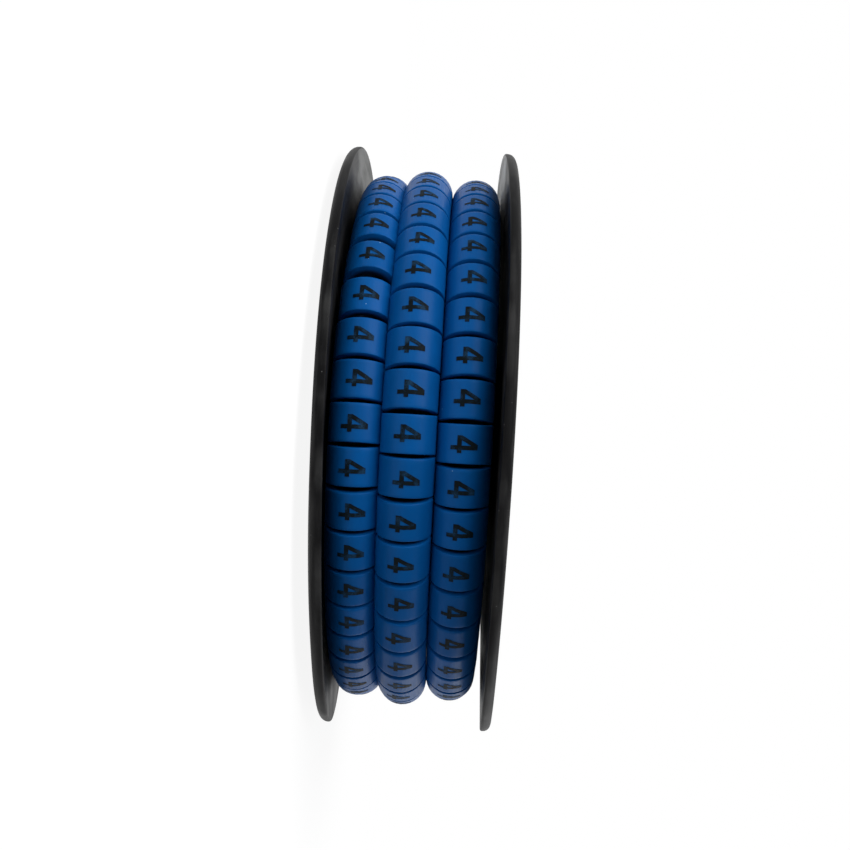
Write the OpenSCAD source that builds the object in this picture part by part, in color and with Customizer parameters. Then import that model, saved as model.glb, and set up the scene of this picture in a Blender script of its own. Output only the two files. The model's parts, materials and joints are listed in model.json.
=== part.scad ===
// Cable marker reel: one strip of part-cut marker sleeves, wound on a spool of two moulded halves.
// The spool's axis is Z, and the reel stands on its base flange at Z = 0.
// The rows of the outer layer run straight around the front. The strip crosses from row to row at the back, +Y,
// where its free end lies too.

/* [Marker sleeve] */
// Bore of a marker sleeve, for the cable
marker_bore = 4.2; // [2.5:0.1:5]
// Wall of a marker sleeve
marker_wall = 1.3; // [0.8:0.1:2]
// Length of a marker sleeve
marker_len = 4.87; // [4:0.01:6]
// Depth to which the cut between two markers opens on the outer layer
cut_depth = 4.2; // [3:0.1:5]
// Width of the cut below that depth
cut_slit = 0.1; // [0.08:0.01:0.2]

/* [Winding] */
// Rows of markers side by side
rows = 3; // [2:1:5]
// Layers of markers from the hub outwards
layers = 4; // [2:1:6]
// Space between two rows
row_gap = 0.08; // [0.06:0.01:0.3]
// How far the middle of the winding stands proud of its sides
crown = 0.86; // [0:0.02:1.2]
// How deep the outer layer is bedded in the layers below it
bed_depth = 0.4; // [0.3:0.05:0.6]
// Angle in which the strip crosses to the next row
cross_angle = 160; // [140:1:200]
// Angle in which the strip climbs into the outer layer
climb_angle = 60; // [30:1:70]
// Width of the cut between markers on the climb, where the strip bends back
climb_slit = 0.9; // [0.7:0.05:1.2]
// Direction in which the outer layer starts, from +X
start_angle = 170.4; // [90:0.1:270]

/* [Spool] */
// Bore of the hub, for a spindle
bore_d = 16; // [10:0.5:24]
// Wall of the top half's spigot
spigot_wall = 2; // [1.5:0.1:3]
// Wall of the base half's socket
socket_wall = 1.85; // [1.5:0.05:3]
// Thickness of a flange
flange_t = 1.5; // [1:0.1:2.5]
// Height of the flange's edge above the crown of the winding
flange_lip = 3.2; // [1:0.1:8]
// Bevel of the flange's edge on its outer face
rim_bevel = 0.75; // [0.3:0.05:0.75]
// Chamfer of the flange's edge on its inner face
edge_chamfer = 0.2; // [0.1:0.05:0.2]

/* [Fits] */
// Gap around the spigot in its socket
press_gap = 0.05; // [0.02:0.01:0.1]
// How far the spigot ends inside the base's outer face
spigot_recess = 0.3; // [0.1:0.05:0.8]
// Gap between the hub and the winding
hub_gap = 0.1; // [0.05:0.05:0.3]
// Gap between the base flange and the winding that rests on it
rest_gap = 0.05; // [0.02:0.01:0.2]
// Play between the winding and the top flange
top_play = 0.8; // [0.3:0.1:3]

/* [Hidden] */
$fn = 96;
spool_black = [0.06, 0.06, 0.07];
marker_blue = [0.02, 0.3, 0.62];

// Sizes across the strip
marker_od = marker_bore + 2 * marker_wall;
row_pitch = marker_od + row_gap;
wound_w = (rows - 1) * row_pitch + marker_od;
mid_row = (rows - 1) / 2;

// Radii from the bore outwards
bore_r = bore_d / 2;
spigot_r = bore_r + spigot_wall;
socket_r = spigot_r + press_gap;
hub_r = socket_r + socket_wall;
inner_r = hub_r + hub_gap;
wound_r = inner_r + layers * marker_od;
flange_r = wound_r + crown + flange_lip;

// Heights from the base upwards
wound_z = flange_t + rest_gap;
first_row_z = wound_z + marker_od / 2;
top_z = wound_z + wound_w + top_play;
reel_h = top_z + flange_t;

// The outer layer ends where the next crossing would begin
strip_end = rows * 360 - cross_angle;
// Turn angle over which the strip's direction is taken
look_angle = 0.5;
// Length by which a cutting shape passes the sleeve
cut_over = 1;

// Smooth step from 0 to 1
function ease(t) = t * t * (3 - 2 * t);

// Rows crossed at turn angle a, which counts from the start of the outer layer
function rows_crossed(a) =
    let (turn = floor(a / 360), into = a - 360 * turn - (360 - cross_angle))
    turn + ease(max(0, into / cross_angle));

// How far the crown lifts the strip after that many crossed rows
function crown_at(crossed) = crown * max(0, 1 - abs(crossed - mid_row) / mid_row);

// How far the strip lies below the outer layer: on the climb it rolls around the turn that leaves the first row
function climb_drop(a) = a < 0 ? marker_od * sqrt(max(0, 1 - pow(1 + rows_crossed(a), 2))) : 0;

// The strip's centre line: height, and distance from the axis
function strip_z(a) = first_row_z + row_pitch * max(0, rows_crossed(a));
function strip_r(a) =
    wound_r - marker_od / 2 + crown_at(max(0, rows_crossed(a))) - climb_drop(a);

// The strip's slopes along the axis and away from it
function run_length(a) = strip_r(a) * 2 * look_angle * PI / 180;
function lead(a) = atan((strip_z(a + look_angle) - strip_z(a - look_angle)) / run_length(a));
function climb(a) = atan((strip_r(a + look_angle) - strip_r(a - look_angle)) / run_length(a));

// Turn angle that one marker takes up: neighbours meet where the open cut ends
function open_r(r) = r + marker_od / 2 - cut_depth;
function marker_angle(a) =
    2 * atan(marker_len / 2 / open_r(strip_r(a))) * cos(lead(a)) * cos(climb(a));

// Middles of the markers along the outer layer, and along the climb that leads into it
layer_markers = [
    for (a = 0; a + marker_angle(a) <= strip_end; a = a + marker_angle(a)) a + marker_angle(a) / 2
];
climb_markers = [
    for (a = 0; a > -climb_angle; a = a - marker_angle(a)) a - marker_angle(a) / 2
];

// One half's flange, from its inner radius to its bevelled edge, with the winding side upwards
module flange(inner) {
    rotate_extrude()
        polygon([
            [inner, 0],
            [flange_r - rim_bevel, 0],
            [flange_r, rim_bevel],
            [flange_r, flange_t - edge_chamfer],
            [flange_r - edge_chamfer, flange_t],
            [inner, flange_t]
        ]);
}

module tube(outer, inner, from_z, to_z) {
    translate([0, 0, from_z])
        rotate_extrude()
            translate([inner, 0])
                square([outer - inner, to_z - from_z]);
}

// Base half: flange and socket, which reaches up to the other flange
module spool_base() {
    color(spool_black) {
        flange(socket_r);
        tube(hub_r, socket_r, 0, top_z);
    }
}

// Top half: flange and the spigot that is pressed down through the socket
module spool_top() {
    color(spool_black) {
        translate([0, 0, reel_h])
            mirror([0, 0, 1])
                flange(bore_r);
        tube(spigot_r, bore_r, spigot_recess, reel_h);
    }
}

// A marker sleeve whose bore lies along Y, with X away from the reel's axis.
// Its ends are square down to the opened cut, and narrow from there towards the hub.
module marker(r, slit) {
    open_x = open_r(r) - r;
    low_x = -marker_od / 2 - cut_over;
    high_x = marker_od / 2 + cut_over;
    half = marker_len / 2;
    low_half = half * (r + low_x) / open_r(r);
    intersection() {
        rotate([90, 0, 0])
            difference() {
                cylinder(d = marker_od, h = marker_len + cut_over, center = true);
                cylinder(d = marker_bore, h = marker_len + 2 * cut_over, center = true);
            }
        linear_extrude(marker_od + cut_over, center = true)
            polygon([
                [low_x, slit / 2 - low_half],
                [open_x, slit / 2 - half],
                [high_x, slit / 2 - half],
                [high_x, half - slit / 2],
                [open_x, half - slit / 2],
                [low_x, low_half - slit / 2]
            ]);
    }
}

module marker_at(a, slit) {
    r = strip_r(a);
    rotate([0, 0, start_angle + a])
        translate([r, 0, strip_z(a)])
            rotate([lead(a), 0, 0])
                rotate([0, 0, -climb(a)])
                    marker(r, slit);
}

// The layers below the outer one, with a crowned outside
module inner_layers() {
    side_r = wound_r - marker_od + bed_depth;
    half_w = wound_w / 2;
    row_half_w = mid_row * row_pitch;
    translate([0, 0, wound_z + half_w])
        rotate_extrude()
            polygon([
                [inner_r, -half_w],
                [side_r, -half_w],
                [side_r, -row_half_w],
                [side_r + crown, 0],
                [side_r, row_half_w],
                [side_r, half_w],
                [inner_r, half_w]
            ]);
}

module marker_strip() {
    color(marker_blue) {
        inner_layers();
        for (a = layer_markers) marker_at(a, cut_slit);
        for (a = climb_markers) marker_at(a, climb_slit);
    }
}

spool_base();
spool_top();
marker_strip();
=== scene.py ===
"""Models and finishes a reel of printed cable markers on a plain stage.

The reel's axis is Z. Its rows run straight around the front, -Y, and cross from row to row at the back.
"""

import json
import math
import random
from functools import partial

import bmesh
import bpy
from bpy.props import FloatProperty, FloatVectorProperty, IntProperty, PointerProperty
from bpy.types import Operator, Panel, PropertyGroup
from mathutils import Matrix, Vector


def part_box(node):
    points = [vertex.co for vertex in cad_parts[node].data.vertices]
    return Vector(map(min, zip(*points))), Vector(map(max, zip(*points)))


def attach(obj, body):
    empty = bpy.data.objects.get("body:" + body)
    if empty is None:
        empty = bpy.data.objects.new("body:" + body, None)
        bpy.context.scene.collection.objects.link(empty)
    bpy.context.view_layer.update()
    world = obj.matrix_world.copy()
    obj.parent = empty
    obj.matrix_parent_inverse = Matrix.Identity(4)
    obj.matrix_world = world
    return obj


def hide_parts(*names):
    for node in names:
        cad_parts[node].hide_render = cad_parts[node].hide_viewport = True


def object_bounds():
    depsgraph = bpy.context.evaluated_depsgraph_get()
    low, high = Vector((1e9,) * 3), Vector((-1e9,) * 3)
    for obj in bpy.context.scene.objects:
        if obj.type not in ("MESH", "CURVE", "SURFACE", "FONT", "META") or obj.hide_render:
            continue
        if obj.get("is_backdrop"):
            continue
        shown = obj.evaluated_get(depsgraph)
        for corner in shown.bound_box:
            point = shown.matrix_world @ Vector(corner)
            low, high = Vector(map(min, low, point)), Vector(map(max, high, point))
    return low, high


bl_info = {
    "name": "Cable Marker Reel",
    "version": (1, 0, 0),
    "blender": (4, 5, 0),
    "location": "View3D > Sidebar > Marker Reel",
    "description": "Models and finishes a reel of printed cable markers",
    "category": "Add Mesh",
}

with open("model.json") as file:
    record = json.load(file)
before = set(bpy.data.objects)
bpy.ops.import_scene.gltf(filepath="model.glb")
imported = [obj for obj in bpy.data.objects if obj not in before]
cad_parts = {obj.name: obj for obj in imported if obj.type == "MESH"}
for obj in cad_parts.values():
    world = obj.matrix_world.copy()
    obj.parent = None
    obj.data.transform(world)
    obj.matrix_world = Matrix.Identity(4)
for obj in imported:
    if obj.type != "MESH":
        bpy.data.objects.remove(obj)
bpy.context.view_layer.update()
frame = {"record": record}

MM = 0.001
FULL_TURN = 2 * math.pi

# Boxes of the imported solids, as lowest and highest corners
BASE_LOW, BASE_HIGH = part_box("spool_base")
TOP_LOW, TOP_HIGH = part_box("spool_top")
STRIP_LOW, STRIP_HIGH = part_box("marker_strip")

# Steps around the spool, around a sleeve of the outer layer and around one of the layer below
SPOOL_STEPS = 160
SLEEVE_STEPS = 32
LOWER_STEPS = 16
# Segments of a rounded edge: a moulded one, a flange's outer rim and a sleeve's cut edge
EDGE_SEGMENTS = 3
RIM_SEGMENTS = 6
CUT_SEGMENTS = 2
# Distance within which two points count as one
NEAR = 0.02 * MM
# Shares of a flange's radius, along -X, at which the scuffs and painted sheen begin and are in full
SCUFF_SHEEN_FROM = 0.84
SCUFF_SHEEN_FULL = 0.95
# Rings of faces across a flange, inside and outside the side of the winding
DISC_STEPS = 4
LIP_STEPS = 6
# Powers with which the base flange's and the top flange's bends grow towards the edge
BASE_BEND = 1.5
TOP_BEND = 2.0
# Bands that a printed figure is cut into, so that it bends with its sleeve
PRINT_BANDS = 8
# Edges that turn more than this stay sharp
SHARP_ANGLE = math.radians(50)
# Turn angle over which the strip's direction is taken
LOOK_ANGLE = math.radians(0.5)
# Seed of the play of markers and prints
PLAY_SEED = 4
# Rubbed rings on the spool: streaks per turn, roughly, and rings per millimetre
RING_STREAKS = 5
RINGS_PER_MM = 3.0
# Patterns per millimetre along each axis: smudges on the spool, and lines around and along a sleeve
SMUDGE_SCALE = (0.45, 0.07, 0.45)
LINE_SCALE = (4.0, 0.12, 1.0)
# Darkest and lightest tone of a marker
DARK_TONE = 0.9
LIGHT_TONE = 1.1
# Share of a dust speck's radius that is solid
SPECK_CORE = 0.5
# Brings the floor's diffuse part up to white where the lamps light it
FLOOR_GAIN = 1.6
# Width of the camera's sensor in millimetres, and where its view begins
SENSOR_WIDE = 36
VIEW_START = 10 * MM


def length(name, description, millimetres):
    """A size in millimetres, kept in metres."""
    return FloatProperty(
        name=name, description=description, default=millimetres * MM, unit="LENGTH", precision=5
    )


def point(name, description, millimetres):
    """A point in millimetres, kept in metres."""
    return FloatVectorProperty(
        name=name, description=description, unit="LENGTH", subtype="XYZ",
        default=[value * MM for value in millimetres],
    )


def angle(name, description, degrees):
    return FloatProperty(
        name=name, description=description, default=math.radians(degrees), subtype="ANGLE"
    )


def share(name, description, value, most=1.0):
    return FloatProperty(name=name, description=description, default=value, min=0.0, max=most)


def colour(name, description, value):
    return FloatVectorProperty(
        name=name, description=description, default=value, subtype="COLOR", min=0.0, max=1.0
    )


class SpoolSizes(PropertyGroup):
    """Sizes of the spool that its boxes don't give"""

    spigot_wall: length("Spigot wall", "Wall of the top half's spigot", 2.0)
    socket_wall: length("Socket wall", "Wall of the base half's socket", 1.85)
    press_gap: length("Press gap", "Gap around the spigot in its socket", 0.05)
    rim_round: length("Rim rounding", "Rounding of a flange's edge on its outer face", 1.1)
    edge_round: length("Edge rounding", "Rounding of the other moulded edges", 0.25)
    edge_land: length("Edge land", "Flat strip beside a rounded edge", 0.6)
    base_tip: length("Base tip", "How far one side of the base flange's edge tips in", 0.9)
    base_tip_heading: angle("Base tip heading", "Side on which the base flange tips in", 256)
    base_twist: length("Base twist", "How far that edge is bent like a saddle", 0.6)
    base_twist_heading: angle("Base twist heading", "Side on which that saddle bends in", 322)
    top_tip: length("Top tip", "How far one side of the top flange's edge tips in", 0.95)
    top_tip_heading: angle("Top tip heading", "Side on which the top flange tips in", 222)
    top_twist: length("Top twist", "How far that edge is bent like a saddle", 0.5)
    top_twist_heading: angle("Top twist heading", "Side on which that saddle bends in", 330)
    top_spread: length("Top spread", "How far the top flange's whole edge stands outwards", 0.45)


class SleeveSizes(PropertyGroup):
    """Sizes of one marker sleeve"""

    wall: length("Wall", "Wall of a marker sleeve", 1.3)
    long: length("Length", "Length of a marker sleeve", 4.87)
    cut_depth: length("Cut depth", "Depth to which the cut between two markers opens", 4.2)
    cut_slit: length("Cut slit", "Width of the cut below that depth", 0.1)
    climb_slit: length("Climb slit", "Width of the cut where the strip climbs and bends back", 0.9)
    edge_round: length("Edge rounding", "Rounding of the cut edges", 0.12)
    edge_land: length("Edge land", "Flat strip beside a rounded edge", 0.35)
    swell: length("Swell", "How far the soft wall swells towards the next row", 0.045)


class WindingSizes(PropertyGroup):
    """Sizes of the wound strip"""

    rows: IntProperty(name="Rows", description="Rows of markers side by side", default=3, min=2)
    row_gap: length("Row gap", "Space between two rows", 0.08)
    crown: length("Crown", "How far the middle of the winding stands proud of its sides", 0.86)
    flange_lip: length("Flange lip", "Height of the flange's edge above the crown", 3.2)
    hub_gap: length("Hub gap", "Gap between the hub and the winding", 0.1)
    bed_depth: length("Bed depth", "How deep a layer is bedded in the one below", 0.4)
    cross_angle: angle("Crossing", "Angle in which the strip crosses to the next row", 160)
    climb_angle: angle("Climb", "Angle in which the strip bends back as it climbs", 60)
    start_angle: angle("Start", "Direction in which the outer layer starts", 170.4)
    yaw_play: angle("Yaw play", "How far a marker may turn on the strip", 0.5)
    tilt_play: angle("Tilt play", "How far a marker may tip along the strip", 0.9)
    pulled_turn: angle("Pulled cut", "Turn angle at which the strip is pulled apart", 70.5)
    pulled_reach: angle("Pulled reach", "Turn angle to each side over which its cuts are pulled open", 12)
    pulled_slack: angle("Pulled slack", "Turn angle that the pulled cuts add to the strip", 3)
    pulled_tilt: angle("Pulled tilt", "How far the markers beside the pulled cut tip apart", 2)
    long_turn: angle("Long markers", "Turn angle in a later row from which its markers are longer", 117.6)
    long_reach: angle("Long reach", "Turn angle over which those markers are longer", 45)
    long_slack: angle("Long slack", "Turn angle that the longer markers add to a row", 3.4)
    first_shift: length("First row shift", "How far the first row is pressed against the next", 0.4)
    loose_shift: length("Loose shift", "How far the loose part of the first row leans on the next", 0.4)
    lift_play: length("Lift play", "How far a marker may stand off its row", 0.05)


class PrintSizes(PropertyGroup):
    """Sizes of the printed figure, which stands across the strip"""

    high: length("Height", "Height of the figure", 3.38)
    wide: length("Width", "Width of the figure", 2.12)
    stem: length("Stem", "Width of the upright stroke", 0.52)
    overhang: length("Overhang", "How far the level stroke passes the upright one", 0.39)
    bar: length("Bar", "Width of the level stroke", 0.55)
    bar_from: length("Bar height", "Height of the level stroke's lower edge", 0.845)
    top: length("Top", "Width of the figure's blunt top", 0.66)
    heel: length("Heel", "How far the slanted stroke ends above the level one", 0.055)
    eye_wide: length("Eye width", "Width of the figure's open triangle", 0.64)
    eye_high: length("Eye height", "Height of the figure's open triangle", 1.18)
    clear: length("Clearance", "Distance of the print from the round of its sleeve", 0.02)
    thick: length("Thickness", "Thickness of the ink", 0.012)
    shift_play: length("Shift play", "How far a figure may be printed off its middle", 0.12)
    roll_play: angle("Roll play", "How far a figure may be turned around its sleeve", 3)
    first_roll: angle("First row roll", "How far the first row's figures are turned inwards", 3)


class Finishes(PropertyGroup):
    """Colours of the reel's materials"""

    spool_black: colour("Spool", "Colour of the moulded spool", (0.006, 0.006, 0.0065))
    spool_dust: colour("Spool dust", "Colour of the spool's dust and rubbed spots", (0.12, 0.12, 0.12))
    # Scuffs and painted sheen: a light patch on the flanges' inner lips at -X, where the light falls
    spool_scuff_sheen: colour("Spool scuffs", "Colour of the spool where it is gripped", (0.5, 0.5, 0.475))
    base_scuff_sheen: share("Base wear", "How worn the base flange is where it is gripped", 0.4)
    top_scuff_sheen: share("Top wear", "How worn the top flange is where it is gripped", 1.0)
    marker_blue: colour("Markers", "Colour of the marker sleeves", (0.001, 0.086, 0.31))
    # Painted shade on the cut faces, darker towards the bore
    cut_shade: share("Cut shade", "How much darker the cut faces are towards the bore", 0.9)
    marker_speck: colour("Marker specks", "Colour of dust specks on the sleeves", (0.2, 0.38, 0.6))
    ink_black: colour("Ink", "Colour of the printed figures", (0.002, 0.005, 0.007))
    ink_worn: colour("Worn ink", "Colour of the figures where the ink is thin", (0.012, 0.05, 0.11))


class StageSettings(PropertyGroup):
    """Floor, light and camera"""

    floor_wide: length("Floor width", "Width of the floor", 4000)
    floor_white: colour("Floor", "Colour of the floor", (0.5, 0.5, 0.5))
    shadow_share: share("Shadow", "Share of the floor's brightness that a shadow takes away", 0.1)
    shadow_full: length("Shadow radius", "Radius inside which the floor shows its shadow", 90)
    shadow_end: length("Shadow end", "Radius outside which the floor is plain white", 220)
    sky_front: share("Front sky", "Brightness of the surroundings in front as a light", 0.02, 4.0)
    sky_back: share("Back sky", "Brightness of the surroundings behind as a light", 0.3, 4.0)
    # A patch of floor glows as a light for the reel, though no lamp is there
    floor_glow: share("Floor glow", "Brightness of the lit patch of floor as a light", 0.52, 4.0)
    glow_place: point("Glow place", "Middle of the lit patch of floor", (-30, -52, 0))
    glow_full: length("Glow radius", "Radius of the evenly lit patch of floor", 30)
    glow_end: length("Glow end", "Radius at which the lit patch has faded", 80)
    key_place: point("Key place", "Where the main lamp hangs", (-263, -263, 335))
    key_power: share("Key power", "Power of the main lamp in watts", 2.6, 20.0)
    side_place: point("Side place", "Where the lamp beside the reel hangs", (410, 150, 250))
    side_power: share("Side power", "Power of the lamp beside the reel in watts", 0.9, 20.0)
    lamp_wide: length("Lamp width", "Width of each lamp", 450)
    lens: FloatProperty(
        name="Lens", description="Focal length on a 36 mm sensor", default=46.64, unit="CAMERA"
    )
    camera_place: point("Camera", "Where the camera stands", (5.385, -170.625, 17.083))
    camera_aim: point("Camera aim", "Where the camera looks", (-1.976, 0, 12.868))
    camera_roll: angle("Camera roll", "Turn of the camera around its view", 93.17)


class ReelSettings(PropertyGroup):
    """Everything that shapes and colours the reel"""

    spool: PointerProperty(type=SpoolSizes)
    sleeve: PointerProperty(type=SleeveSizes)
    winding: PointerProperty(type=WindingSizes)
    figure: PointerProperty(type=PrintSizes)
    finishes: PointerProperty(type=Finishes)
    stage: PointerProperty(type=StageSettings)


def ease(part):
    """Smooth step from 0 to 1."""
    part = min(max(part, 0.0), 1.0)
    return part * part * (3 - 2 * part)


def slack_turn(even_turn, sizes):
    """A marker's turn angle: later rows are cut longer at the front and shorter where they cross."""
    if even_turn < FULL_TURN:
        return even_turn
    row_turn = even_turn % FULL_TURN
    longer = ease((row_turn - sizes.long_turn) / sizes.long_reach)
    shorter = max(0.0, 1 - (FULL_TURN - row_turn) / sizes.cross_angle)
    return even_turn + sizes.long_slack * (longer - shorter)


class Winding:
    """The strip's centre line by turn angle, which counts from the start of the outer layer.

    Before that start the strip climbs out of the layer below, and further back it is that layer.
    """

    def __init__(self, sleeve, winding):
        width = STRIP_HIGH.z - STRIP_LOW.z
        self.sleeve = sleeve
        self.rows = winding.rows
        self.first_shift = winding.first_shift
        self.tube_d = (width - (winding.rows - 1) * winding.row_gap) / winding.rows
        self.pitch = self.tube_d + winding.row_gap
        self.first_z = STRIP_LOW.z + self.tube_d / 2
        self.crown = winding.crown
        self.outer_r = BASE_HIGH.x - winding.flange_lip - winding.crown
        self.cross = winding.cross_angle
        self.start = winding.start_angle

    def crossed(self, turn):
        """Rows crossed at a turn angle: a smooth step at the end of each turn."""
        whole = math.floor(turn / FULL_TURN)
        into = turn - FULL_TURN * (whole + 1) + self.cross
        return whole + ease(into / self.cross)

    def row(self, turn):
        if turn >= 0:
            return self.crossed(turn)
        return self.crossed(max(0.0, -self.cross - turn))

    def drop(self, turn):
        """How far the strip lies below the outer layer."""
        if turn >= 0:
            return 0.0
        if turn <= -self.cross:
            return self.tube_d
        return self.tube_d * math.sqrt(1 - (1 + self.crossed(turn)) ** 2)

    def height(self, turn):
        pressed = self.first_shift * max(0.0, 1 - self.row(turn))
        return self.first_z + self.pitch * self.row(turn) + pressed

    def radius(self, turn):
        middle = (self.rows - 1) / 2
        lift = self.crown * (1 - abs(self.row(turn) - middle) / middle)
        return self.outer_r - self.tube_d / 2 + lift - self.drop(turn)

    def slope(self, of, turn):
        """The strip's slope along the axis or away from it, as an angle."""
        change = of(turn + LOOK_ANGLE) - of(turn - LOOK_ANGLE)
        return math.atan(change / (self.radius(turn) * 2 * LOOK_ANGLE))

    def open_radius(self, radius):
        """Where the cut between two markers closes."""
        return radius + self.tube_d / 2 - self.sleeve.cut_depth

    def marker_turn(self, turn):
        """Turn angle that one marker takes up."""
        half = math.atan(self.sleeve.long / 2 / self.open_radius(self.radius(turn)))
        lead = self.slope(self.height, turn)
        climb = self.slope(self.radius, turn)
        return 2 * half * math.cos(lead) * math.cos(climb)

    def pose(self, turn):
        """A marker's place: X away from the axis, Y along the strip, Z along the axis."""
        around = Matrix.Rotation(self.start + turn, 4, "Z")
        out = Matrix.Translation((self.radius(turn), 0, self.height(turn)))
        lead = Matrix.Rotation(self.slope(self.height, turn), 4, "X")
        climb = Matrix.Rotation(-self.slope(self.radius, turn), 4, "Z")
        return around @ out @ lead @ climb

    def outer_markers(self):
        """Middles of the markers along the outer layer."""
        end = self.rows * FULL_TURN - self.cross
        turn = 0.0
        while turn + self.marker_turn(turn) <= end:
            step = self.marker_turn(turn)
            yield turn + step / 2
            turn += step

    def lower_markers(self):
        """Middles of the markers back along the climb and the layer below."""
        end = -self.rows * FULL_TURN
        turn = 0.0
        while turn > end:
            step = self.marker_turn(turn)
            yield turn - step / 2
            turn -= step


class Marker:
    """One marker of the strip, with the play that its place and print have."""

    def __init__(self, even_turn, winding, reel, draw):
        play = reel.winding
        beside_cut = even_turn - play.pulled_turn
        before = min(max(0.5 - beside_cut / (2 * play.pulled_reach), 0.0), 1.0)
        turn = slack_turn(even_turn, play) - play.pulled_slack * before
        radius = winding.radius(turn)
        self.turn = even_turn
        added = slack_turn(even_turn + LOOK_ANGLE, play) - slack_turn(even_turn - LOOK_ANGLE, play)
        self.stretch = added / (2 * LOOK_ANGLE)
        self.radius = radius
        self.tone = draw.random()
        hinge = Matrix.Translation((winding.open_radius(radius) - radius, 0, 0))
        yaw = Matrix.Rotation(draw.uniform(-1, 1) * play.yaw_play, 4, "X")
        tilt = Matrix.Rotation(draw.uniform(-1, 1) * play.tilt_play, 4, "Z")
        if abs(beside_cut) < winding.marker_turn(turn):
            tilt = Matrix.Rotation(math.copysign(play.pulled_tilt, beside_cut), 4, "Z")
        loose = before if even_turn > 0 else 0.0
        lift = Matrix.Translation((draw.uniform(-1, 1) * play.lift_play, 0, loose * play.loose_shift))
        self.matrix = winding.pose(turn) @ lift @ hinge @ tilt @ yaw @ hinge.inverted()
        turned_in = reel.figure.first_roll * max(0.0, 1 - winding.row(turn))
        roll = Matrix.Rotation(draw.uniform(-1, 1) * reel.figure.roll_play - turned_in, 4, "Y")
        shift = Matrix.Translation((0, draw.uniform(-1, 1) * reel.figure.shift_play, 0))
        self.print_matrix = self.matrix @ shift @ roll


def strip_markers(reel):
    """The strip's winding and its markers, the same at each call."""
    draw = random.Random(PLAY_SEED)
    winding = Winding(reel.sleeve, reel.winding)
    outer = [Marker(turn, winding, reel, draw) for turn in winding.outer_markers()]
    lower = [Marker(turn, winding, reel, draw) for turn in winding.lower_markers()]
    return winding, outer, lower


def empty_tree(owner):
    """Turns on the nodes of a material or world and clears them."""
    owner.use_nodes = True
    owner.node_tree.nodes.clear()
    return owner.node_tree


def fill_inputs(tree, node, inputs):
    """Fills a node's inputs with values or other nodes' outputs."""
    for name, value in inputs.items():
        if isinstance(value, bpy.types.NodeSocket):
            tree.links.new(value, node.inputs[name])
        else:
            node.inputs[name].default_value = value


def add_node(tree, kind, inputs=None, **options):
    """Adds a node, sets its options and fills its inputs."""
    made = tree.nodes.new(kind)
    for option, value in options.items():
        setattr(made, option, value)
    fill_inputs(tree, made, inputs or {})
    return made


def attribute(tree, name):
    return add_node(tree, "ShaderNodeAttribute", attribute_name=name).outputs["Fac"]


def object_mm(tree):
    """Object coordinates in millimetres."""
    place = add_node(tree, "ShaderNodeTexCoord")
    scaled = add_node(
        tree, "ShaderNodeVectorMath", {0: place.outputs["Object"], "Scale": 1 / MM}, operation="SCALE"
    )
    return scaled.outputs["Vector"]


def stretched(tree, vector, factors):
    return add_node(
        tree, "ShaderNodeVectorMath", {0: vector, 1: factors}, operation="MULTIPLY"
    ).outputs["Vector"]


def noise(tree, vector, scale, detail):
    return add_node(
        tree, "ShaderNodeTexNoise", {"Vector": vector, "Scale": scale, "Detail": detail}
    ).outputs["Fac"]


def spread(tree, value, start, end, low, high):
    """Maps the values from start to end to the values from low to high."""
    return add_node(
        tree, "ShaderNodeMapRange",
        {"Value": value, "From Min": start, "From Max": end, "To Min": low, "To Max": high},
    ).outputs["Result"]


def combine(tree, operation, first, second):
    return add_node(tree, "ShaderNodeMath", {0: first, 1: second}, operation=operation).outputs["Value"]


def blend(tree, amount, first, second):
    """A colour between two colours, each a value or a node's output."""
    mixed = add_node(tree, "ShaderNodeMix", {0: amount, 6: first, 7: second}, data_type="RGBA")
    return mixed.outputs[2]


def opaque(value, level=1.0):
    """A colour at a brightness level, with its alpha."""
    return (*(channel * level for channel in value), 1.0)


def specks(tree, vector, per_mm, size, kept):
    """Small dots in some of the cells of a loose pattern, as 0 or 1."""
    cells = add_node(tree, "ShaderNodeTexVoronoi", {"Vector": vector, "Scale": per_mm})
    near = spread(tree, cells.outputs["Distance"], size, SPECK_CORE * size, 0.0, 1.0)
    channels = add_node(tree, "ShaderNodeSeparateColor", {"Color": cells.outputs["Color"]})
    chosen = combine(tree, "LESS_THAN", channels.outputs["Red"], kept)
    return combine(tree, "MULTIPLY", near, chosen)


def new_material(name):
    """An empty material, its node tree and its shader."""
    material = bpy.data.materials.new(name)
    tree = empty_tree(material)
    shader = add_node(tree, "ShaderNodeBsdfPrincipled")
    add_node(tree, "ShaderNodeOutputMaterial", {"Surface": shader.outputs["BSDF"]})
    return material, tree, shader


def bump(tree, height, strength, depth):
    return add_node(
        tree, "ShaderNodeBump", {"Height": height, "Strength": strength, "Distance": depth}
    ).outputs["Normal"]


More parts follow.
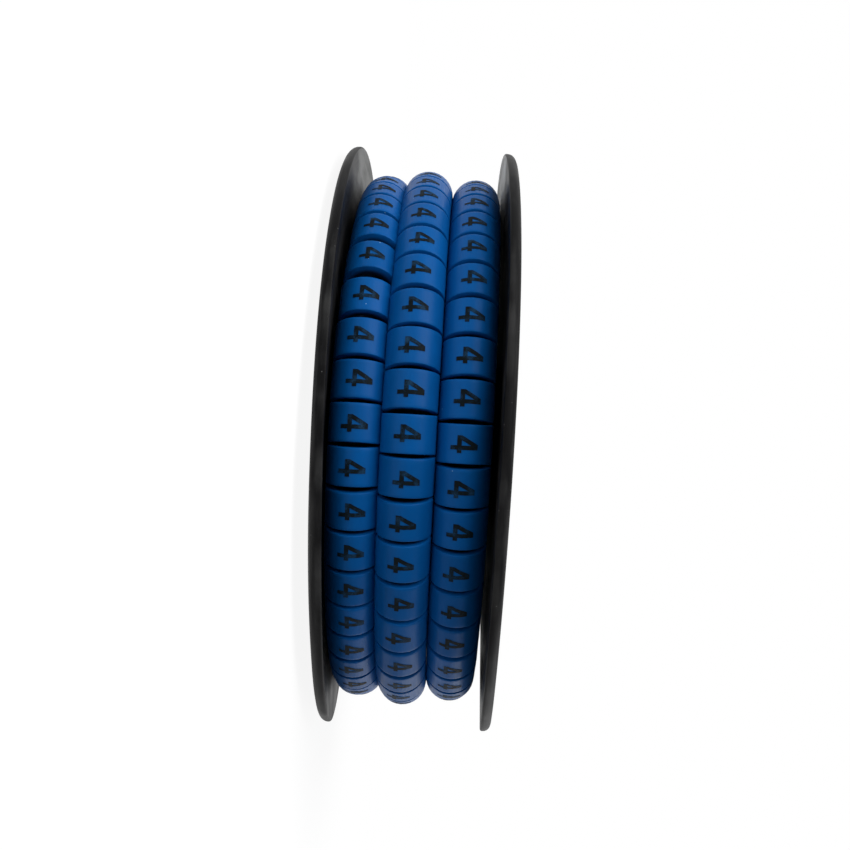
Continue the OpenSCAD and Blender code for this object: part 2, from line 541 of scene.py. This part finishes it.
def moulded_plastic(finishes):
    """Semi-gloss black plastic with fine rings from handling, rubbed spots, dust, and scuffs with painted
    sheen at -X.
    """
    material, tree, shader = new_material("black_moulded_plastic")
    place = object_mm(tree)
    flat = stretched(tree, place, (1, 1, 0))
    ring = add_node(tree, "ShaderNodeVectorMath", {0: flat}, operation="LENGTH").outputs["Value"]
    heading = add_node(tree, "ShaderNodeVectorMath", {0: flat}, operation="NORMALIZE").outputs["Vector"]
    along = stretched(tree, heading, (RING_STREAKS, RING_STREAKS, 0))
    rings_out = combine(tree, "MULTIPLY", ring, RINGS_PER_MM)
    across = add_node(tree, "ShaderNodeCombineXYZ", {"Z": rings_out})
    around = add_node(
        tree, "ShaderNodeVectorMath", {0: along, 1: across.outputs["Vector"]}, operation="ADD"
    ).outputs["Vector"]
    rings = noise(tree, around, scale=1.0, detail=3.0)
    cloud = noise(tree, place, scale=0.16, detail=5.0)
    grain = noise(tree, place, scale=7.0, detail=2.0)
    dust = specks(tree, place, per_mm=1.2, size=0.1, kept=0.22)
    clouded = combine(tree, "MULTIPLY", rings, cloud)
    rubbed = spread(tree, clouded, start=0.22, end=0.5, low=0.0, high=0.3)
    worn = combine(tree, "MAXIMUM", rubbed, dust)
    black = blend(tree, worn, opaque(finishes.spool_black), opaque(finishes.spool_dust))
    # Scuffs and painted sheen: a light, mottled patch on the inner lips at -X, the side where the light
    # falls
    smears = noise(tree, stretched(tree, place, SMUDGE_SCALE), scale=1.0, detail=3.0)
    smudge = spread(tree, smears, start=0.36, end=0.6, low=0.4, high=1.0)
    scuff_sheen_mask = combine(tree, "MULTIPLY", attribute(tree, "worn_and_sheened"), smudge)
    fill_inputs(tree, shader, {
        "Base Color": blend(tree, scuff_sheen_mask, black, opaque(finishes.spool_scuff_sheen)),
        "Roughness": spread(tree, cloud, start=0.3, end=0.7, low=0.36, high=0.54),
        "Specular IOR Level": 0.05,
        "Normal": bump(tree, combine(tree, "ADD", grain, cloud), strength=0.2, depth=0.02 * MM),
    })
    return material


def soft_pvc(finishes):
    """Satin blue PVC with extrusion lines and dust. Markers differ a little; cuts get painted shade
    inside.
    """
    material, tree, shader = new_material("blue_soft_pvc")
    place = object_mm(tree)
    cloud = noise(tree, place, scale=0.35, detail=3.0)
    grain = noise(tree, place, scale=9.0, detail=2.0)
    around = add_node(tree, "ShaderNodeUVMap", uv_map="sleeve").outputs["UV"]
    lines = noise(tree, stretched(tree, around, LINE_SCALE), scale=1.0, detail=2.0)
    relief = combine(tree, "ADD", grain, lines)
    own_tone = spread(tree, attribute(tree, "tone"), start=0.0, end=1.0, low=0.0, high=0.6)
    cloud_tone = spread(tree, cloud, start=0.3, end=0.7, low=0.0, high=0.4)
    dark_blue = opaque(finishes.marker_blue, DARK_TONE)
    light_blue = opaque(finishes.marker_blue, LIGHT_TONE)
    blue = blend(tree, combine(tree, "ADD", own_tone, cloud_tone), dark_blue, light_blue)
    # Painted shade: the cut faces darken towards the bore, where little light reaches
    inside = attribute(tree, "inside")
    painted_shade = spread(tree, inside, start=0.4, end=0.8, low=0.0, high=finishes.cut_shade)
    cut_blue = blend(tree, painted_shade, blue, opaque(finishes.spool_black))
    dust = specks(tree, place, per_mm=0.8, size=0.07, kept=0.1)
    fill_inputs(tree, shader, {
        "Base Color": blend(tree, dust, cut_blue, opaque(finishes.marker_speck)),
        "Roughness": spread(tree, relief, start=0.7, end=1.3, low=0.34, high=0.48),
        "Specular IOR Level": 0.075,
        "Normal": bump(tree, relief, strength=0.25, depth=0.015 * MM),
    })
    return material


def stamped_ink(finishes):
    """Black ink that is thin in patches."""
    material, tree, shader = new_material("black_stamped_ink")
    place = object_mm(tree)
    grain = noise(tree, place, scale=8.0, detail=2.0)
    patches = noise(tree, place, scale=0.9, detail=3.0)
    thin_patches = spread(tree, patches, start=0.3, end=0.8, low=0.0, high=0.8)
    thin_grain = spread(tree, grain, start=0.3, end=0.8, low=0.0, high=0.4)
    mottle = combine(tree, "ADD", thin_patches, thin_grain)
    thin = spread(tree, mottle, start=0.45, end=0.95, low=0.0, high=1.0)
    fill_inputs(tree, shader, {
        "Base Color": blend(tree, thin, opaque(finishes.ink_black), opaque(finishes.ink_worn)),
        "Roughness": spread(tree, grain, start=0.3, end=0.7, low=0.5, high=0.7),
        "Specular IOR Level": 0.065,
        "Normal": bump(tree, grain, strength=0.2, depth=0.01 * MM),
    })
    return material


def seen_rays(tree):
    """1 for rays that show the surroundings as they look, 0 for rays that light the reel."""
    path = add_node(tree, "ShaderNodeLightPath")
    straight = combine(
        tree, "MAXIMUM", path.outputs["Is Camera Ray"], path.outputs["Is Glossy Ray"]
    )
    return combine(tree, "MAXIMUM", straight, path.outputs["Is Transmission Ray"])


def floor_paint(stage):
    """White floor that shows as white, and darkens a little in a shadow. A patch of it glows like a lamp
    to light the reel.
    """
    material = bpy.data.materials.new("white_floor")
    tree = empty_tree(material)
    place = add_node(tree, "ShaderNodeTexCoord").outputs["Object"]
    glow_way = add_node(
        tree, "ShaderNodeVectorMath", {0: place, 1: stage.glow_place}, operation="DISTANCE"
    ).outputs["Value"]
    # The glowing patch: light given off by the floor itself, which only the rays that light the reel see
    level = spread(tree, glow_way, stage.glow_full, stage.glow_end, stage.floor_glow, 0.0)
    patch = add_node(tree, "ShaderNodeEmission", {"Strength": level})
    white = add_node(tree, "ShaderNodeBsdfDiffuse", {"Color": opaque(stage.floor_white)})
    glowing = add_node(
        tree, "ShaderNodeAddShader", {0: white.outputs["BSDF"], 1: patch.outputs["Emission"]}
    )
    radius = add_node(tree, "ShaderNodeVectorMath", {0: place}, operation="LENGTH").outputs["Value"]
    taken = spread(tree, radius, stage.shadow_full, stage.shadow_end, stage.shadow_share, 0.0)
    grey = combine(tree, "MULTIPLY", taken, FLOOR_GAIN)
    shaded = add_node(tree, "ShaderNodeBsdfDiffuse", {"Color": grey})
    glow = add_node(tree, "ShaderNodeEmission", {"Strength": combine(tree, "SUBTRACT", 1.0, taken)})
    shown = add_node(
        tree, "ShaderNodeAddShader", {0: shaded.outputs["BSDF"], 1: glow.outputs["Emission"]}
    )
    mixed = add_node(
        tree, "ShaderNodeMixShader",
        {0: seen_rays(tree), 1: glowing.outputs["Shader"], 2: shown.outputs["Shader"]},
    )
    add_node(tree, "ShaderNodeOutputMaterial", {"Surface": mixed.outputs["Shader"]})
    return material


def white_world(stage):
    """Surroundings that show as white, and light the reel more from behind."""
    world = bpy.data.worlds.new("white_surroundings")
    tree = empty_tree(world)
    plain = opaque((1, 1, 1))
    heading = add_node(tree, "ShaderNodeTexCoord").outputs["Generated"]
    behind = add_node(tree, "ShaderNodeSeparateXYZ", {"Vector": heading}).outputs["Y"]
    level = spread(tree, behind, start=0.0, end=1.0, low=stage.sky_front, high=stage.sky_back)
    light = add_node(tree, "ShaderNodeBackground", {"Color": plain, "Strength": level})
    white = add_node(tree, "ShaderNodeBackground", {"Color": plain, "Strength": 1.0})
    mixed = add_node(
        tree, "ShaderNodeMixShader",
        {0: seen_rays(tree), 1: light.outputs["Background"], 2: white.outputs["Background"]},
    )
    add_node(tree, "ShaderNodeOutputWorld", {"Surface": mixed.outputs["Shader"]})
    return world


def smooth_shade(bm):
    """Shades the faces smooth, with sharp edges where they turn much."""
    for face in bm.faces:
        face.smooth = True
    for edge in bm.edges:
        if edge.is_manifold and edge.calc_face_angle() > SHARP_ANGLE:
            edge.smooth = False


def closed_section(bm, points):
    """Joins points in a plane through the axis to a closed outline."""
    corners = [bm.verts.new(place) for place in points]
    for near, far in zip(corners, corners[1:] + corners[:1]):
        bm.edges.new((near, far))


def full_spin(bm, axis, steps):
    bmesh.ops.spin(
        bm, geom=bm.verts[:] + bm.edges[:], cent=(0, 0, 0), axis=axis, angle=FULL_TURN, steps=steps,
        use_merge=True,
    )
    bmesh.ops.recalc_face_normals(bm, faces=bm.faces[:])


def round_edges(bm, edges, width, segments):
    bmesh.ops.bevel(
        bm, geom=edges, offset=width, offset_type="OFFSET", segments=segments, profile=0.5,
        affect="EDGES", material=-1, clamp_overlap=True,
    )


def mesh_of(bm, name):
    mesh = bpy.data.meshes.new(name)
    bm.to_mesh(mesh)
    bm.free()
    return mesh


def add_piece(bm, name, material):
    """Makes an object of a mesh. It sits at the origin, with its place in its mesh."""
    mesh = mesh_of(bm, name)
    mesh.materials.append(material)
    piece = bpy.data.objects.new(name, mesh)
    bpy.context.scene.collection.objects.link(piece)
    return piece


def winding_side(reel):
    """Radius at which the winding's sides stand furthest out, and past which a flange is free."""
    winding = Winding(reel.sleeve, reel.winding)
    return winding.outer_r - winding.tube_d / 2


def steps_between(start, end, count):
    return [start + (end - start) * step / count for step in range(count)]


def flange_radii(hub_r, side_r, spool):
    """Radii of the rings across a flange, up to the flat strip beside its rounded edge."""
    land_r = BASE_HIGH.x - spool.rim_round - spool.edge_land
    disc = steps_between(hub_r, side_r, DISC_STEPS)[1:]
    return disc + steps_between(side_r, land_r, LIP_STEPS) + [land_r]


def bend_flange(bm, start, power, lean):
    """Bends a flange along the axis from a radius on. The bend at its edge depends on the heading."""
    for vert in bm.verts:
        out = (vert.co.xy.length - start) / (BASE_HIGH.x - start)
        if out > 0:
            vert.co.z += lean(math.atan2(vert.co.y, vert.co.x)) * out ** power


def convex_corners(bm):
    return [edge for edge in bm.edges if edge.is_convex and edge.calc_face_angle() > SHARP_ANGLE]


def spool_half(section, outer_z, spool):
    """Spins a half of the spool from its section and rounds its edges, the flange's outer rim most."""
    bm = bmesh.new()
    closed_section(bm, [(radius, 0, height) for radius, height in section])
    full_spin(bm, (0, 0, 1), SPOOL_STEPS)
    rim = Vector((BASE_HIGH.x, outer_z))
    outer_rim = [
        edge for edge in convex_corners(bm)
        if all((Vector((vert.co.xy.length, vert.co.z)) - rim).length < NEAR for vert in edge.verts)
    ]
    round_edges(bm, outer_rim, spool.rim_round, RIM_SEGMENTS)
    round_edges(bm, convex_corners(bm), spool.edge_round, EDGE_SEGMENTS)
    smooth_shade(bm)
    return bm


def mark_scuff_sheen(bm, inner_z, side_r, scuff_and_sheen):
    """Marks a flange's inner lip at -X for scuffs and painted sheen, a light patch on the side where
    light falls.
    """
    worn_and_sheened = bm.verts.layers.float.new("worn_and_sheened")
    for vert in bm.verts:
        radius = vert.co.xy.length
        if radius > side_r - NEAR and abs(vert.co.z - inner_z) < NEAR:
            into = (-vert.co.x / radius - SCUFF_SHEEN_FROM) / (SCUFF_SHEEN_FULL - SCUFF_SHEEN_FROM)
            vert[worn_and_sheened] = scuff_and_sheen * min(max(into, 0.0), 1.0)


def flange_section(radii, outer_z, inner_z):
    """A flange's outline: out along its outer face and back along its inner one."""
    edge_r = BASE_HIGH.x
    out = [(radius, outer_z) for radius in radii]
    back = [(radius, inner_z) for radius in reversed(radii)]
    return out + [(edge_r, outer_z), (edge_r, inner_z)] + back


def base_section(spool, socket_r, radii):
    """Base half: flange, and the socket that reaches up to the other flange."""
    hub_r = socket_r + spool.socket_wall
    flange_t = TOP_HIGH.z - BASE_HIGH.z
    flange = flange_section(radii, BASE_LOW.z, flange_t)
    socket = [(hub_r, flange_t), (hub_r, BASE_HIGH.z), (socket_r, BASE_HIGH.z)]
    return [(socket_r, BASE_LOW.z), *flange, *socket]


def top_section(spool, bore_r, radii):
    """Top half: flange, and the spigot that is pressed down through the socket."""
    spigot_r = bore_r + spool.spigot_wall
    flange = flange_section(radii, TOP_HIGH.z, BASE_HIGH.z)
    spigot = [(spigot_r, BASE_HIGH.z), (spigot_r, TOP_LOW.z), (bore_r, TOP_LOW.z)]
    return [(bore_r, TOP_HIGH.z), *flange, *spigot]


def base_lean(spool, heading):
    """How far the base flange's edge leans up at a heading."""
    tip = spool.base_tip * math.cos(heading - spool.base_tip_heading)
    return tip + spool.base_twist * math.cos(2 * (heading - spool.base_twist_heading))


def top_lean(spool, heading):
    """How far the top flange's edge leans up at a heading."""
    tip = spool.top_tip * math.cos(heading - spool.top_tip_heading)
    return spool.top_spread - tip - spool.top_twist * math.cos(2 * (heading - spool.top_twist_heading))


def spindle_radius():
    for mount in frame["record"]["mounts"]:
        if mount["name"] == "spindle_bore":
            return mount["dims"]["r_mm"] * MM
    raise RuntimeError("the packed record has no spindle bore")


def hub_radius(spool):
    return spindle_radius() + spool.spigot_wall + spool.press_gap + spool.socket_wall


def sleeve_mesh(sleeve, tube_d, steps, rounded):
    """A straight sleeve around Y, with a map that runs around it and along it in millimetres."""
    outer = tube_d / 2 + sleeve.swell
    inner = tube_d / 2 - sleeve.wall
    if inner <= 0:
        raise RuntimeError("the sleeve's wall leaves no bore")
    half = (sleeve.long - sleeve.cut_slit) / 2
    land = half - sleeve.edge_round - sleeve.edge_land
    ends = (-half, -land, land, half) if rounded else (-half, half)
    outside = [(outer, end) for end in ends]
    bm = bmesh.new()
    closed_section(bm, [(radius, y, 0) for radius, y in outside + [(inner, half), (inner, -half)]])
    full_spin(bm, (0, 1, 0), steps)
    if rounded:
        rims = [
            edge for edge in bm.edges
            if edge.calc_face_angle() > SHARP_ANGLE and edge.verts[0].co.xz.length > (inner + outer) / 2
        ]
        round_edges(bm, rims, sleeve.edge_round, CUT_SEGMENTS)
    smooth_shade(bm)
    bm.verts.layers.float.new("tone")
    # Depth into the wall, from which the material paints shade on the cut faces
    inside = bm.verts.layers.float.new("inside")
    for vert in bm.verts:
        vert[inside] = (outer - vert.co.xz.length) / sleeve.wall
    layer = bm.loops.layers.uv.new("sleeve")
    for face in bm.faces:
        middle = face.calc_center_median()
        heading = math.atan2(middle.z, middle.x)
        for loop in face.loops:
            turned = Matrix.Rotation(heading, 3, "Y") @ loop.vert.co
            around = heading + math.atan2(turned.z, turned.x)
            loop[layer].uv = (around * outer / MM, loop.vert.co.y / MM)
    return mesh_of(bm, "sleeve")


def place_sleeve(bm, mesh, marker, winding, squeeze):
    """Adds a sleeve to the strip: its ends narrow towards the hub from where the cut closes."""
    first = len(bm.verts)
    bm.from_mesh(mesh)
    bm.verts.ensure_lookup_table()
    added = bm.verts[first:]
    tone = bm.verts.layers.float["tone"]
    open_r = winding.open_radius(marker.radius)
    for vert in added:
        vert[tone] = marker.tone
        vert.co.y *= squeeze * marker.stretch * min(1.0, (marker.radius + vert.co.x) / open_r)
    bmesh.ops.transform(bm, matrix=marker.matrix, verts=added)


def add_core(bm, winding, inner_r, bed_depth):
    """Adds the layers that lie below the shown ones, as one ring with a crowned outside."""
    core = bmesh.new()
    side_r = winding.outer_r - 2 * winding.tube_d + bed_depth
    middle_z = (STRIP_LOW.z + STRIP_HIGH.z) / 2
    crowned = (side_r + winding.crown, middle_z)
    section = [
        (inner_r, STRIP_LOW.z), (side_r, STRIP_LOW.z), (side_r, winding.first_z), crowned,
        (side_r, 2 * middle_z - winding.first_z), (side_r, STRIP_HIGH.z), (inner_r, STRIP_HIGH.z),
    ]
    closed_section(core, [(radius, 0, height) for radius, height in section])
    full_spin(core, (0, 0, 1), SPOOL_STEPS)
    smooth_shade(core)
    mesh = mesh_of(core, "core")
    bm.from_mesh(mesh)
    bpy.data.meshes.remove(mesh)


def figure_outline(figure):
    """The figure 4 as two closed outlines: across the figure, then up it."""
    right = figure.wide - figure.overhang
    left = right - figure.stem
    bar_top = figure.bar_from + figure.bar
    outer = [
        (left, 0), (right, 0), (right, figure.bar_from), (figure.wide, figure.bar_from),
        (figure.wide, bar_top), (right, bar_top), (right, figure.high), (right - figure.top, figure.high),
        (0, bar_top + figure.heel), (0, figure.bar_from), (left, figure.bar_from),
    ]
    eye = [(left - figure.eye_wide, bar_top), (left, bar_top), (left, bar_top + figure.eye_high)]
    return outer, eye


def figure_mesh(figure, sleeve_r):
    """The printed figure on a sleeve around Y: it reads along the strip and stands across it."""
    bm = bmesh.new()
    for outline in figure_outline(figure):
        closed_section(bm, [(across, up, 0) for across, up in outline])
    bmesh.ops.triangle_fill(bm, use_beauty=True, edges=bm.edges[:], normal=(0, 0, 1))
    for band in range(1, PRINT_BANDS):
        bmesh.ops.bisect_plane(
            bm, geom=bm.verts[:] + bm.edges[:] + bm.faces[:],
            plane_co=(0, figure.high * band / PRINT_BANDS, 0), plane_no=(0, 1, 0),
        )
    radius = sleeve_r + figure.clear
    for vert in bm.verts:
        around = (vert.co.y - figure.high / 2) / radius
        vert.co = (radius * math.cos(around), vert.co.x - figure.wide / 2, radius * math.sin(around))
    bmesh.ops.recalc_face_normals(bm, faces=bm.faces[:])
    outwards = sum(face.normal.x for face in bm.faces) > 0
    if not outwards:
        bmesh.ops.reverse_faces(bm, faces=bm.faces[:])
    bmesh.ops.solidify(bm, geom=bm.faces[:], thickness=-figure.thick)
    return mesh_of(bm, "figure")


def add_lamp(name, power, wide, place, aim):
    """Adds a square soft lamp that shines at a point."""
    light = bpy.data.lights.new(name, "AREA")
    light.energy = power
    light.size = wide
    lamp = bpy.data.objects.new(name, light)
    turned = (aim - place).to_track_quat("-Z", "Y").to_matrix().to_4x4()
    lamp.matrix_world = Matrix.Translation(place) @ turned
    bpy.context.scene.collection.objects.link(lamp)


class BuildSpool(Operator):
    """Models the spool's base half and top half"""

    bl_idname = "marker_reel.build_spool"
    bl_label = "Build Spool"

    def execute(self, context):
        reel = context.scene.marker_reel
        bore_r = spindle_radius()
        socket_r = bore_r + reel.spool.spigot_wall + reel.spool.press_gap
        plastic = moulded_plastic(reel.finishes)
        hub_r = hub_radius(reel.spool)
        side_r = winding_side(reel)
        radii = flange_radii(hub_r, side_r, reel.spool)
        base = spool_half(base_section(reel.spool, socket_r, radii), BASE_LOW.z, reel.spool)
        mark_scuff_sheen(base, TOP_HIGH.z - BASE_HIGH.z, side_r, reel.finishes.base_scuff_sheen)
        bend_flange(base, side_r, BASE_BEND, partial(base_lean, reel.spool))
        top = spool_half(top_section(reel.spool, bore_r, radii), TOP_HIGH.z, reel.spool)
        mark_scuff_sheen(top, BASE_HIGH.z, side_r, reel.finishes.top_scuff_sheen)
        bend_flange(top, hub_r, TOP_BEND, partial(top_lean, reel.spool))
        for node, mesh in (("spool_base", base), ("spool_top", top)):
            half = add_piece(mesh, node + "_half", plastic)
            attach(half, "root")
            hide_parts(node)
        return {"FINISHED"}


class BuildMarkers(Operator):
    """Models the wound strip of marker sleeves"""

    bl_idname = "marker_reel.build_markers"
    bl_label = "Build Markers"

    def execute(self, context):
        reel = context.scene.marker_reel
        sleeve = reel.sleeve
        winding, outer, lower = strip_markers(reel)
        fine = sleeve_mesh(sleeve, winding.tube_d, SLEEVE_STEPS, rounded=True)
        plain = sleeve_mesh(sleeve, winding.tube_d, LOWER_STEPS, rounded=False)
        climb_squeeze = (sleeve.long - sleeve.climb_slit) / (sleeve.long - sleeve.cut_slit)
        bm = bmesh.new()
        for marker in outer:
            place_sleeve(bm, fine, marker, winding, squeeze=1.0)
        for marker in lower:
            climbing = marker.turn > -reel.winding.cross_angle
            bends_back = marker.turn > -reel.winding.climb_angle
            squeeze = climb_squeeze if bends_back else 1.0
            place_sleeve(bm, fine if climbing else plain, marker, winding, squeeze)
        inner_r = hub_radius(reel.spool) + reel.winding.hub_gap
        add_core(bm, winding, inner_r, reel.winding.bed_depth)
        for mesh in (fine, plain):
            bpy.data.meshes.remove(mesh)
        strip = add_piece(bm, "wound_markers", soft_pvc(reel.finishes))
        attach(strip, "root")
        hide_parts("marker_strip")
        return {"FINISHED"}


class BuildPrints(Operator):
    """Models the figure that is printed on each marker"""

    bl_idname = "marker_reel.build_prints"
    bl_label = "Build Prints"

    def execute(self, context):
        reel = context.scene.marker_reel
        winding, outer, lower = strip_markers(reel)
        mesh = figure_mesh(reel.figure, winding.tube_d / 2 + reel.sleeve.swell)
        bm = bmesh.new()
        for marker in outer + lower:
            first = len(bm.verts)
            bm.from_mesh(mesh)
            bm.verts.ensure_lookup_table()
            bmesh.ops.transform(bm, matrix=marker.print_matrix, verts=bm.verts[first:])
        bpy.data.meshes.remove(mesh)
        prints = add_piece(bm, "marker_prints", stamped_ink(reel.finishes))
        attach(prints, "root")
        return {"FINISHED"}


class BuildStage(Operator):
    """Sets up the floor, the light and the camera"""

    bl_idname = "marker_reel.build_stage"
    bl_label = "Build Stage"

    def execute(self, context):
        scene = context.scene
        stage = scene.marker_reel.stage
        bm = bmesh.new()
        bmesh.ops.create_grid(bm, x_segments=1, y_segments=1, size=stage.floor_wide / 2)
        bmesh.ops.translate(bm, vec=(0, 0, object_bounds()[0].z), verts=bm.verts[:])
        floor = add_piece(bm, "floor", floor_paint(stage))
        floor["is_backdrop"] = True
        middle = Vector((0, 0, TOP_HIGH.z / 2))
        scene.world = white_world(stage)
        add_lamp("key_lamp", stage.key_power, stage.lamp_wide, Vector(stage.key_place), middle)
        add_lamp("side_lamp", stage.side_power, stage.lamp_wide, Vector(stage.side_place), middle)
        camera = bpy.data.objects.new("camera", bpy.data.cameras.new("camera"))
        camera.data.lens = stage.lens
        camera.data.sensor_width = SENSOR_WIDE
        camera.data.clip_start = VIEW_START
        place = Vector(stage.camera_place)
        look = (Vector(stage.camera_aim) - place).to_track_quat("-Z", "Y").to_matrix().to_4x4()
        roll = Matrix.Rotation(stage.camera_roll, 4, "Z")
        camera.matrix_world = Matrix.Translation(place) @ look @ roll
        scene.collection.objects.link(camera)
        scene.camera = camera
        scene.view_settings.view_transform = "Standard"
        return {"FINISHED"}


OPERATORS = (BuildSpool, BuildMarkers, BuildPrints, BuildStage)


class ReelPanel(Panel):
    """Lists the reel's sizes and colours and the steps that build it"""

    bl_idname = "MARKERREEL_PT_build"
    bl_label = "Cable Marker Reel"
    bl_space_type = "VIEW_3D"
    bl_region_type = "UI"
    bl_category = "Marker Reel"

    def draw(self, context):
        reel = context.scene.marker_reel
        for operator in OPERATORS:
            self.layout.operator(operator.bl_idname)
        for group in (reel.spool, reel.sleeve, reel.winding, reel.figure, reel.finishes, reel.stage):
            box = self.layout.box()
            for name in group.__annotations__:
                box.prop(group, name)


CLASSES = (
    SpoolSizes, SleeveSizes, WindingSizes, PrintSizes, Finishes, StageSettings, ReelSettings,
    *OPERATORS, ReelPanel,
)


def register():
    for cls in CLASSES:
        bpy.utils.register_class(cls)
    bpy.types.Scene.marker_reel = PointerProperty(type=ReelSettings)


def unregister():
    del bpy.types.Scene.marker_reel
    for cls in reversed(CLASSES):
        bpy.utils.unregister_class(cls)


def main():
    register()
    bpy.ops.marker_reel.build_spool()
    bpy.ops.marker_reel.build_markers()
    bpy.ops.marker_reel.build_prints()
    bpy.ops.marker_reel.build_stage()


if __name__ == "__main__":
    main()
